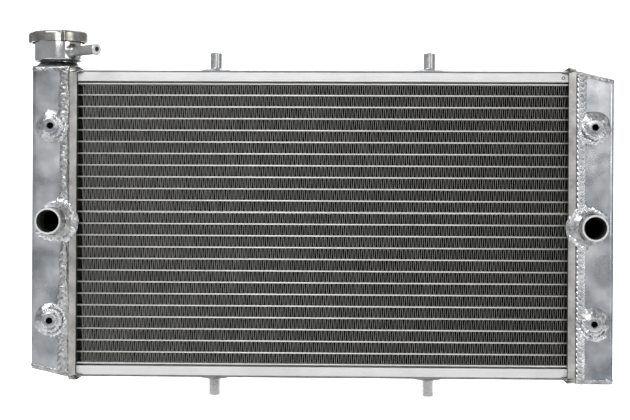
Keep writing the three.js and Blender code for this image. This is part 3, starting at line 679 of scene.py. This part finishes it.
def hose_pipe(side):
    name = PIPES[side]
    low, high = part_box(name)
    radius = (high.x - low.x) / 2
    bore = radius - PIPE_WALL
    root, tip, lip = -high.y, -low.y, PIPE_LIP
    profile = [(bore, root), (bore, tip - lip)] + arc((bore + lip, tip - lip), lip, 180, 90, 4)
    profile += arc((radius - lip, tip - lip), lip, 90, 0, 4)
    profile += [(radius, tip - 2 * MM), (radius, root), (bore, root)]
    points, faces = lathe(profile, 96)
    centre = ((low.x + high.x) / 2, 0, (low.z + high.z) / 2)
    pipe = skin(name, face_forward(points) + centre, faces, TURNED_METAL)
    middle, deep = Vector(centre), -tip + LIT_BORE
    # painted shade deep in the bore
    inside_material(pipe, BORE_SHADE_METAL,
                    lambda f: f.center.y > deep and (f.center - middle).xz.length < bore + 0.3 * MM)
    inside_material(pipe, END_METAL, lambda f: f.center.y < -tip + 2 * lip)
    foot = pipe_seat(low, high, side)
    seed = 11 if side == LEFT else 23
    wall = radius - WELD_BITE
    fillet_ring(f"{name}_weld", lambda p: end_place(face_forward(p) + foot, side), PIPE_WELD_FOOT, wall,
                PIPE_WELD_HEIGHT, seed, GROUND_WELD, uneven=0.04, stretch=0.42, hollow=1.3, ripple=0.015,
                lump=0.25 * MM)
    root_foot = foot - (0, 5 * MM, 0)
    fillet_ring(f"{name}_weld_root", lambda p: end_place(face_forward(p) + root_foot, side),
                radius + 0.9 * MM, wall, 1.2 * MM, seed + 3, SHADED_WELD, uneven=0.02, ripple=0.05,
                lump=0.1 * MM)
    for number, (start, end, reach) in enumerate(PIPE_RUNS):
        ring_bead(f"{name}_run_{number + 1}", foot, reach * MM, start, end, 6.5 * MM, 2.6 * MM, 4.4 * MM,
                  seed + 7 * number, WELD_METAL, side, 0.5)


BOSS_RUNS = {  # each boss's stacked weld: seed, then where it starts and ends
    (LEFT, "upper"): (101, -95, 85), (LEFT, "lower"): (113, -120, 130),
    (RIGHT, "upper"): (131, -25, 165), (RIGHT, "lower"): (149, -15, 175),
}
BOSS_HOLE, BOSS_HOLE_DEPTH = 2.7 * MM, 10 * MM
BOSS_THREAD, BOSS_TURNS = 1 * MM, 9
BOSS_LEAD = 0.6 * MM
BOSS_WELD_WIDTH, BOSS_WELD_HEIGHT = 7.2 * MM, 4.2 * MM
BOSS_REACHES = (8.4, 12.7)  # radius of each run, in mm
BOSS_CREASE = 10.6 * MM  # and of the dark crease between them


def fan_boss(side, level):
    name = f"{side}_{level}_fan_boss"
    low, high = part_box(name)
    radius = (high.x - low.x) / 2
    tip, root = -low.y, -high.y
    hole, lead, thread = BOSS_HOLE, BOSS_LEAD, BOSS_THREAD
    profile = [(0, tip - BOSS_HOLE_DEPTH), (hole, tip - BOSS_HOLE_DEPTH)]
    for k in range(BOSS_TURNS):  # the thread's ridges
        start = tip - 9.6 * MM + k * thread
        profile += [(hole, start), (hole + 0.45 * MM, start + thread / 2)]
    profile += [(hole, tip - lead), (hole + lead, tip)]
    profile += arc((radius - lead, tip - lead), lead, 90, 0, 5) + [(radius, root), (0, root)]
    points, faces = lathe(profile, 64)
    centre = ((low.x + high.x) / 2, 0, (low.z + high.z) / 2)
    boss = skin(name, face_forward(points) + centre, faces, TURNED_METAL)
    sharpen(boss)
    middle, mouth = Vector(centre), -tip + 0.7 * MM
    # painted shade down the threaded hole
    inside_material(boss, PAINTED_SHADE_METAL,
                    lambda f: f.center.y > mouth and (f.center - middle).xz.length < hole + lead)
    foot = pipe_seat(low, high, side)
    seed, start, end = BOSS_RUNS[side, level]
    fillet_ring(f"{name}_weld", lambda p: end_place(face_forward(p) + foot, side),
                radius + BOSS_WELD_WIDTH, radius - WELD_BITE, BOSS_WELD_HEIGHT, seed, GROUND_WELD,
                uneven=0.05, stretch=0.12, hollow=0.9, ripple=0.015, lump=0.25 * MM)
    for number, reach in enumerate(BOSS_REACHES):
        ring_bead(f"{name}_run_{number + 1}", foot - (0, (2.4 - 1.5 * number) * MM, 0), reach * MM,
                  start + 32 * number, end - 38 * number, 4.8 * MM, 3 * MM, 2.9 * MM, seed + 11 * number,
                  WELD_METAL, side, 0.45)
    ring_bead(f"{name}_crease", foot - (0, 2.2 * MM, 0), BOSS_CREASE, start + 20, end - 26, 1.6 * MM,
              1 * MM, 2.5 * MM, seed + 5, SHADED_WELD, side, 0.5)


SEAM_INSET = 4.2 * MM  # from the shell's free edge to the middle of the header's seam
SEAM_STEP = 0.35 * MM
SEAM_OUT = 0.2 * MM  # from the shell's end to the middle of the end plate's seam
SEAMS = {  # material, roughness, ripple, height and pitch in mm: flattened at the left, crisp at the right
    LEFT: (GROUND_WELD, 0.7, 0.15, 2, 5.1),
    RIGHT: (WELD_METAL, 0.08, 0.7, 2.4, 4.4),
}


def end_welds(side):
    """Seams: header to shell, front and back, and each end plate to the shell."""
    material, rough, ripple, high, pitch = SEAMS[side]
    seam_x = INNER_X - SEAM_INSET
    heights = np.arange(SLANT_INNER + 1 * MM, END_TOP - 1 * MM, SEAM_STEP)
    for face, y in (("front", FRONT), ("back", -FRONT)):
        path = np.stack([np.full_like(heights, seam_x), np.full_like(heights, y), heights], 1)
        normals = np.tile((0, math.copysign(1, y), 0), (len(path), 1))
        path = end_place(path, side)
        bead(f"{side}_seam_{face}", path, normals, 8 * MM, high * MM, pitch * MM, 31, material, rough, ripple)
        toe = path + (SEAM_INSET if side == LEFT else -SEAM_INSET, 0, 0)
        bead(f"{side}_seam_toe_{face}", toe, normals, 1.3 * MM, 0.5 * MM, 4 * MM, 33, SHADED_WELD, 0.4, 0.2)
    outline = np.array(tank_outline(0, 0.5 * MM))
    outward = np.gradient(outline, axis=0)
    outward = np.stack([-outward[:, 1], outward[:, 0]], 1)
    outward = -outward / np.linalg.norm(outward, axis=1)[:, None]
    if outward[0][1] > 0:
        outward = -outward
    for end in ("square", "slanted"):
        rows = [(x, y, END_TOP + SEAM_OUT if end == "square" else tank_floor(x) - SEAM_OUT)
                for x, y in outline]
        normals = np.array([(nx, ny, 0) for nx, ny in outward])
        normals = normals if side == LEFT else normals * (-1, 1, -1)
        bead(f"{side}_{end}_seam", end_place(rows, side), normals, 3.6 * MM, 0.7 * MM, 3.4 * MM, 47,
             GROUND_WELD, 0.7, 0.3)


LUMP = Vector((5.6, 3.2, 1.8)) * MM
LUMP_FROM_FACE, LUMP_FROM_TOP = 3.5 * MM, 1.5 * MM


def corner_blobs(side):
    """Lumps of weld where each rail meets the header."""
    for level in (1, -1):
        for face, y in (("front", FRONT + LUMP_FROM_FACE), ("back", -FRONT - LUMP_FROM_FACE)):
            word = "upper" if level > 0 else "lower"
            centre = (-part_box("top_rail")[1].x, y, level * (RAIL_HIGH.z - CORE_Z - LUMP_FROM_TOP))
            bm = bmesh.new()
            bmesh.ops.create_icosphere(bm, subdivisions=4, radius=1)
            points = np.array([tuple(v.co * LUMP) for v in bm.verts])
            faces = [[v.index for v in f.verts] for f in bm.faces]
            bm.free()
            points = shake(points, 0.8 * MM, 5 * MM, level * 3 + y * 50) + centre
            add_mesh(f"{side}_{word}_corner_weld_{face}", end_place(points, side), faces, SHADED_WELD)


# ---- pins, neck, nipple, cap ----
PIN_RADIUS, PIN_CHAMFER = 5 * MM, 0.9 * MM
PIN_FLANGE_EDGE, PIN_FLANGE_THICK = 0.5 * MM, 1.6 * MM
PIN_ROUND = 1.5 * MM  # between flange and pin


def pin(name, outward):
    """A locating pin with its flange and the weld round that. outward is +1 on the top rail."""
    low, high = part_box(name)
    centre = ((low.x + high.x) / 2, 0, 0)
    root = low.z if outward > 0 else high.z
    length = high.z - low.z
    radius, flange = PIN_RADIUS, (high.x - low.x) / 2
    foot = abs((RAIL_HIGH.z if outward > 0 else RAIL_LOW.z) - root) + SEAM_GAP
    top = foot + PIN_FLANGE_THICK
    profile = [(0, 0), (radius, 0), (radius, foot), (flange, foot), (flange, foot + PIN_FLANGE_EDGE)]
    profile += [(flange - PIN_FLANGE_THICK, top), (radius + PIN_ROUND, top)]
    profile += arc((radius + PIN_ROUND, top + PIN_ROUND), PIN_ROUND, 270, 180, 5)
    profile += [(radius, length - PIN_CHAMFER), (radius - PIN_CHAMFER, length), (0, length)]
    points, faces = lathe(profile, 72)
    points = points * (1, 1, outward) + centre + (0, 0, root)
    piece = skin(name, points, faces, PIN_METAL)
    middle = Vector(centre)
    # painted shade on the flange
    inside_material(piece, SHADED_EDGE_METAL, lambda f: (f.center - middle).xy.length > radius + 1 * MM)
    sharpen(piece)
    rail = centre + np.array((0, 0, root + outward * (foot - SEAM_GAP)))
    fillet_ring(f"{name}_weld", lambda p: p * (1, 1, outward) + rail, flange + 3 * MM, flange - 1 * MM,
                1.7 * MM, 61 + int(outward), SHADED_WELD, uneven=0.08, ripples=30)


NECK_FOOT, NECK_CUP, NECK_CUP_BORE, NECK_BORE = 15 * MM, 20.5 * MM, 19 * MM, 13.4 * MM  # radii
NECK_SHELF, NECK_SEAT = 4.6 * MM, 7 * MM  # heights above the foot
NECK_ROUND = 2.6 * MM
CAM_THICK, CAM_ROUND = 3.5 * MM, 0.6 * MM
UNDERSIDE_SLOPE = -0.35


def filler_neck():
    foot, rim = NECK_LOW.z, NECK_HIGH.z
    shelf, seat = foot + NECK_SHELF, foot + NECK_SEAT
    cup, bore = NECK_CUP, NECK_BORE
    cam = (NECK_HIGH.x - NECK_LOW.x) / 2
    profile = [(NECK_FOOT, foot), (NECK_FOOT, shelf)]
    profile += arc((cup - NECK_ROUND, shelf + NECK_ROUND), NECK_ROUND, -90, 0, 8)
    profile += [(cup, rim - CAM_THICK), (cam, rim - CAM_THICK)]
    profile += arc((cam - CAM_ROUND, rim - CAM_ROUND), CAM_ROUND, 0, 90, 4)
    profile += [(NECK_CUP_BORE, rim), (NECK_CUP_BORE, seat - 1 * MM), (bore + 2 * MM, seat - 1 * MM)]
    profile += arc((bore + 1 * MM, seat - 0.8 * MM), 0.8 * MM, 0, 180, 6)
    profile += [(bore, foot), (NECK_FOOT, foot)]
    points, faces = lathe(profile, 128)
    neck = skin("filler_neck", points + NECK_AXIS, faces, NECK_METAL)
    inside_material(neck, SHADED_WELD, lambda f: f.normal.z < UNDERSIDE_SLOPE and f.center.z < seat)
    sharpen(neck)
    centre = (NECK.x, NECK.y, foot - 0.4 * MM)
    fillet_ring("filler_neck_weld", lambda p: p + centre, 20.5 * MM, 15.5 * MM, 4.6 * MM, 71,
                SHADED_WELD, uneven=0.03, ripple=0.04, hollow=1.1, lump=0.25 * MM)


NIPPLE_TURN = math.radians(47.5)  # from -Y towards +X
NIPPLE_RADIUS, NIPPLE_BORE = 4.4 * MM, 2.1 * MM
NIPPLE_TIP, NIPPLE_COLLAR, NIPPLE_ROOT = 53.5 * MM, 20.8 * MM, 18 * MM  # from the neck's axis
NIPPLE_LIP = 0.3 * MM
NIPPLE_WELD_ROOT = 19.6 * MM
COLLAR_LENGTH, COLLAR_ROUND = 3 * MM, 2 * MM


def nipple_place(points):
    """From pointing along +Z to pointing out of the neck."""
    x, y, z = face_forward(points).T
    cos, sin = math.cos(NIPPLE_TURN), math.sin(NIPPLE_TURN)
    low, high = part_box("overflow_nipple")
    turned = np.stack([x * cos - y * sin, x * sin + y * cos, z], 1)
    return turned + (NECK.x, NECK.y, (low.z + high.z) / 2)


def overflow_nipple():
    tip, bend = NIPPLE_TIP, NIPPLE_COLLAR + COLLAR_LENGTH
    radius, bore, lip = NIPPLE_RADIUS, NIPPLE_BORE, NIPPLE_LIP
    profile = [(bore, NIPPLE_ROOT), (bore, tip - lip), (bore + lip, tip), (radius - lip, tip)]
    profile += arc((radius - lip, tip - 1.6 * MM), 1.0 * MM, 60, -20, 6)
    profile += [(radius, tip - 4.5 * MM), (radius, bend)]
    profile += arc((radius + COLLAR_ROUND, bend), COLLAR_ROUND, 180, 240, 5)
    profile += [(radius, NIPPLE_ROOT), (bore, NIPPLE_ROOT)]
    points, faces = lathe(profile, 64)
    nipple = skin("overflow_nipple", nipple_place(points), faces, DRAWN_METAL)
    out = Vector((math.sin(NIPPLE_TURN), -math.cos(NIPPLE_TURN), 0))
    near_tip = out.dot(NECK) + tip - 0.5 * MM
    inside_material(nipple, END_METAL, lambda f: f.center.dot(out) > near_tip)
    sharpen(nipple)
    fillet_ring("overflow_nipple_weld", lambda p: nipple_place(p + (0, 0, NIPPLE_WELD_ROOT)), 7.2 * MM,
                4.3 * MM, 5 * MM, 83, GROUND_WELD, uneven=0.06, ripple=0.12, ripples=9, lump=0.15 * MM)


CAP_EAR_TURN, CAP_EAR_HALF, CAP_EAR_BLEND = math.radians(-33), math.radians(42), math.radians(6)
CAP_ROUND, CAP_EAR = 23.5 * MM, 26 * MM
CAP_SHOULDER, CAP_SHEET, CAP_TOP_SHEET = 2.6 * MM, 1 * MM, 1.2 * MM
CAP_HOLE = 3.3
CAP_RELIEF = ((17, 0), (16, -0.5), (13.5, -0.5), (12.5, 0), (CAP_HOLE, 0))  # pressed ring: radius, drop in mm
CAP_AROUND = 240
TOP_SLOPE = 0.4  # the cap's faces that point up more than this are painted darker, a painted shade on its top
TAB_THICK, TAB_HALF, TAB_STEPS = 1.2, 0.23, 13  # in mm, in radians, and points along it
TAB_RINGS = ((21.0, 0.25), (21.4, 0), (23.0, 0))  # radius and rounding of the edge, in mm


def cap_radius(angle):
    """The cap's outline: round, with an ear on each side."""
    from_ear = abs(((angle - CAP_EAR_TURN + math.pi / 2) % math.pi) - math.pi / 2)
    edge = min(1, max(0, (CAP_EAR_HALF - from_ear) / CAP_EAR_BLEND))
    return CAP_ROUND + (CAP_EAR - CAP_ROUND) * edge * edge * (3 - 2 * edge)


def cap_shell():
    top, bottom = CAP_HIGH.z, CAP_LOW.z
    inner_top = top - CAP_TOP_SHEET
    angle = np.arange(CAP_AROUND) / CAP_AROUND * TAU
    edge = np.array([cap_radius(a) for a in angle])
    rings = [(edge, bottom), (edge, bottom + 2 * MM)]
    for a in np.radians(np.linspace(0, 90, 9)):
        inset, rise = CAP_SHOULDER * (1 - math.cos(a)), CAP_SHOULDER * math.sin(a)
        rings.append((edge - inset, top - CAP_SHOULDER + rise))
    rings += [(radius * MM, top + drop * MM) for radius, drop in CAP_RELIEF]
    rings += [(CAP_HOLE * MM, inner_top), (edge - 2.4 * MM, inner_top)]
    rings += [(edge - CAP_SHEET, inner_top - 1.5 * MM), (edge - CAP_SHEET, bottom)]
    level = np.ones(CAP_AROUND)
    points = [np.stack([r * np.cos(angle), r * np.sin(angle), h * level], 1) for r, h in rings]
    points = np.concatenate(points) + NECK_AXIS
    faces = grid_faces(len(rings), CAP_AROUND, close_rows=True, close_columns=True)
    shell = skin("cap_shell", points, faces, CAP_METAL, "cap")
    # painted shade on the faces that point up
    inside_material(shell, CAP_TOP_SHADE_METAL, lambda f: f.normal.z > TOP_SLOPE)
    sharpen(shell, 50)
    for number, half_turn in enumerate((0, math.pi)):
        cap_tab(number + 1, CAP_EAR_TURN + math.pi / 2 + half_turn, bottom)


def cap_tab(number, direction, bottom):
    """A tab folded in under the neck's cam ring, with a rolled root."""
    points = []
    for height, turn in ((0, 1), (TAB_THICK, -1)):
        for radius, rounding in TAB_RINGS:
            for a in direction + np.linspace(-TAB_HALF, TAB_HALF, TAB_STEPS):
                points.append((radius * MM * math.cos(a) + NECK.x, radius * MM * math.sin(a) + NECK.y,
                               bottom + (height + turn * rounding) * MM))
    n, layer = TAB_STEPS, TAB_STEPS * len(TAB_RINGS)
    low = grid_faces(len(TAB_RINGS), n)
    rim = [*range(n), 2 * n - 1, *range(3 * n - 1, 2 * n - 1, -1), n]
    sides = [(a, b, b + layer, a + layer) for a, b in zip(rim, rim[1:] + rim[:1])]
    tab = add_mesh(f"cap_tab_{number}", points, [*low, *(low + layer), *sides], CAP_METAL, body="cap")
    sharpen(tab, 30)


RIVET_FOOT, RIVET_FOOT_THICK, RIVET_STEM = 4.5 * MM, 1 * MM, 3 * MM


def cap_rivet():
    low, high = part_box("cap_rivet")
    head, under = (high.x - low.x) / 2, CAP_HIGH.z + 0.1 * MM
    profile = [(0, low.z), (RIVET_FOOT, low.z), (RIVET_FOOT, low.z + RIVET_FOOT_THICK),
               (RIVET_STEM, low.z + RIVET_FOOT_THICK), (RIVET_STEM, under), (head, under)]
    dome = np.linspace(0.1, 1.5, 9)
    profile += [(head * math.cos(a), under + (high.z - under) * math.sin(a)) for a in dome] + [(0, high.z)]
    points, faces = lathe(profile, 64)
    sharpen(skin("cap_rivet", points + NECK_AXIS, faces, CAP_METAL, "cap"), 50)


def round_piece(node, profile, material, body):
    """A turned piece on the neck's axis, from a closed profile of (radius, height)."""
    points, faces = lathe(profile + profile[:1], 96)
    piece = skin(node, points + NECK_AXIS, faces, material, body)
    edit_mesh(piece.data, lambda bm: bmesh.ops.remove_doubles(bm, verts=bm.verts, dist=1e-7))
    turn_faces_out(piece.data)
    sharpen(piece, 50)


CORNER_CUT = 0.25 * MM


def rounded(corners):
    """Cuts each corner of a closed profile back by a small chamfer."""
    profile = []
    for before, corner, after in zip(corners[-1:] + corners[:-1], corners, corners[1:] + corners[:1]):
        for other in (before, after):
            reach = math.dist(corner, other)
            share = min(CORNER_CUT / reach, 0.4)
            profile.append(tuple(c + (o - c) * share for c, o in zip(corner, other)))
    return profile


def extent(node):
    low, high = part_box(node)
    return (high.x - low.x) / 2, low.z, high.z


def washer(node, bore, body):
    """A flat ring of rubber."""
    radius, low, high = extent(node)
    profile = rounded([(bore, low), (radius, low), (radius, high), (bore, high)])
    round_piece(node, profile, RUBBER, body)


GASKET_BORE, SEAL_BORE = 10 * MM, 9 * MM
BELL_SHEET, BELL_HOLE = 1 * MM, 3.3 * MM
VALVE_SHEET, VALVE_HOLE = 1.2 * MM, 3.2 * MM
COLLAR_OUTSIDE, COLLAR_INSIDE = 8.2 * MM, 7 * MM
VACUUM_STEM = 1.6 * MM


def inside_the_cap():
    """Gasket, bell, seal, valve plate and vacuum valve, sized from their CAD nodes."""
    washer("cap_gasket", GASKET_BORE, "cap")
    radius, low, high = extent("cap_bell")
    bore, under = radius - BELL_SHEET, high - BELL_SHEET
    round_piece("cap_bell", rounded([(BELL_HOLE, under), (bore, under), (bore, low), (radius, low),
                                     (radius, high), (BELL_HOLE, high)]), CAP_METAL, "cap")
    washer("pressure_valve_seal", SEAL_BORE, "pressure_valve")
    radius, low, high = extent("pressure_valve_plate")
    top, out, bore, hole = low + VALVE_SHEET, COLLAR_OUTSIDE, COLLAR_INSIDE, VALVE_HOLE
    round_piece("pressure_valve_plate", rounded([(hole, low), (radius, low), (radius, top), (out, top),
                                                 (out, high), (bore, high), (bore, top), (hole, top)]),
                CAP_METAL, "pressure_valve")
    radius, low, high = extent("vacuum_valve")
    disc, stem = low + VALVE_SHEET, VACUUM_STEM
    profile = [(0, low), (radius - 0.2 * MM, low), (radius, low + 0.2 * MM), (radius, disc), (stem, disc),
               (stem, high - 0.5 * MM), (stem - 0.4 * MM, high - 0.1 * MM), (0, high)]
    points, faces = lathe(profile, 64)
    sharpen(skin("vacuum_valve", points + NECK_AXIS, faces, CAP_METAL, "vacuum_valve"), 50)


def pressure_spring():
    """A closed-ended coil, drawn at rest; nothing here shortens it as the valve plate lifts."""
    low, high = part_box("pressure_spring")
    wire, radius, turns = 0.8 * MM, 11.6 * MM, 4
    steps, around = 60 * turns, 14
    t = np.linspace(0, 1, steps + 1)
    angle = t * turns * TAU
    height = low.z + wire + t * (high.z - low.z - 2 * wire)
    ring = np.arange(around) / around * TAU
    out = radius + wire * np.cos(ring)[None, :]
    points = np.stack([
        out * np.cos(angle)[:, None] + NECK.x, out * np.sin(angle)[:, None] + NECK.y,
        height[:, None] + wire * np.sin(ring)[None, :],
    ], 2).reshape(-1, 3)
    faces = tube_faces(steps + 1, around)
    spring = skin("pressure_spring", points, faces, SPRING_METAL, "cap")
    sharpen(spring, 60)
    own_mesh(spring)


# ---- CAD nodes that stay ----
KEPT = {"side_sheet": TUBE_METAL, "header": HEADER_METAL, "plate": TANK_METAL}
HEADER_RIM = 4.4 * MM
BEVEL = 0.3 * MM


def faces_core(polygon):
    """True for a header's face on the core's side and for the slots in it."""
    return abs(polygon.center.x) < abs(INNER_X) - HEADER_RIM and abs(polygon.normal.y) < 0.99


def finish_kept_nodes():
    for name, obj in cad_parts.items():
        material = next((m for key, m in KEPT.items() if key in name), TANK_METAL)
        obj.data.materials.clear()
        obj.data.materials.append(material)
        if "header" in name:
            # painted shade on the header's core-side face and its slots
            inside_material(obj, SHADED_METAL, faces_core)
        if obj.hide_render:
            continue
        edges = obj.modifiers.new("edges", "BEVEL")
        edges.width, edges.segments = BEVEL, 2
        edges.limit_method, edges.angle_limit = "ANGLE", math.radians(40)


# ---- studio, in metres and watts ----
FLOOR_DROP = 45 * MM  # below the pins, as if the radiator hung by its rail
FLOOR = (0.85, -0.6, 1.6, 1.5, 0.5)  # half width, near and far edge, rise at the back, radius of the bend
WORLD_COLOUR, WORLD_STRENGTH = (0.93, 0.96, 1, 1), 0.33
LIGHTS = (  # name, place, what it looks at, size, power
    ("sky", (0, 0.85, 1.6), (0, 0.6, 0), (1.8, 1.0), 14),
    ("key", (-0.9, -1.3, 1.6), (0, 0, CORE_Z), (1.3, 1.0), 19),
    ("fill", (1.6, -1.4, 0.7), (0, 0, CORE_Z), (0.8, 1.2), 6),
    ("window", (0.04, -2.2, 0.89), (0.04, 0, 0.89), (0.76, 0.9), 3.5),
    ("strip", (0.3, -2.2, 0.56), (0.3, 0, 0.4), (1.3, 0.2), 1.1),
    ("backdrop", (0, 0.7, 1.5), (0, 1.6, 0.4), (1.6, 0.4), 10),
)
LENS, SENSOR = 93.5, 36
CAMERA_TURN, CAMERA_ROLL, CAMERA_DISTANCE = math.radians(1.67), math.radians(0.3), 1.413
CAMERA_AIM = Vector((-5.9 * MM, 0, CORE_Z + 12.3 * MM))


def add_light(name, place, aim, size, power):
    light = bpy.data.lights.new(name, "AREA")
    light.shape = "RECTANGLE"
    light.size, light.size_y = size
    light.energy = power
    obj = new_object(name, light)
    obj.location = place
    obj.rotation_euler = (Vector(aim) - Vector(place)).to_track_quat("-Z", "Y").to_euler()


def studio():
    scene = bpy.context.scene
    floor_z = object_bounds()[0][2] - FLOOR_DROP
    width, near, far, rise, bend = FLOOR
    curve = [(near, 0), (far - bend, 0)]
    for a in np.linspace(0.1, math.pi / 2, 12):
        curve.append((far - bend + bend * math.sin(a), bend - bend * math.cos(a)))
    curve.append((far, rise))
    points = [(x, y, z + floor_z) for y, z in curve for x in (-width, width)]
    new_mesh("studio_floor", points, grid_faces(len(curve), 2), pale_floor())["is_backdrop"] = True

    world = bpy.data.worlds.new("studio")
    world.use_nodes = True
    inputs = world.node_tree.nodes["Background"].inputs
    inputs["Color"].default_value, inputs["Strength"].default_value = WORLD_COLOUR, WORLD_STRENGTH
    scene.world = world
    scene.view_settings.view_transform = "Standard"

    for light in LIGHTS:
        add_light(*light)

    camera = bpy.data.cameras.new("camera")
    camera.lens = LENS
    camera.sensor_width = SENSOR
    holder = new_object("camera", camera)
    holder.matrix_world = (
        Matrix.Translation(CAMERA_AIM) @ Matrix.Rotation(CAMERA_TURN, 4, "Z")
        @ Matrix.Translation((0, -CAMERA_DISTANCE, 0)) @ Matrix.Rotation(math.pi / 2, 4, "X")
        @ Matrix.Rotation(CAMERA_ROLL, 4, "Z"))
    scene.camera = holder


studio()
core()
rail_piece("top_rail", 1)
rail_piece("bottom_rail", -1)
rail_dimple()
for end in (LEFT, RIGHT):
    tank_shell(end)
    hose_pipe(end)
    fan_boss(end, "upper")
    fan_boss(end, "lower")
    end_welds(end)
    corner_blobs(end)
    pin(f"top_pin_{end}", 1)
    pin(f"bottom_pin_{end}", -1)
filler_neck()
overflow_nipple()
cap_shell()
cap_rivet()
inside_the_cap()
pressure_spring()
finish_kept_nodes()
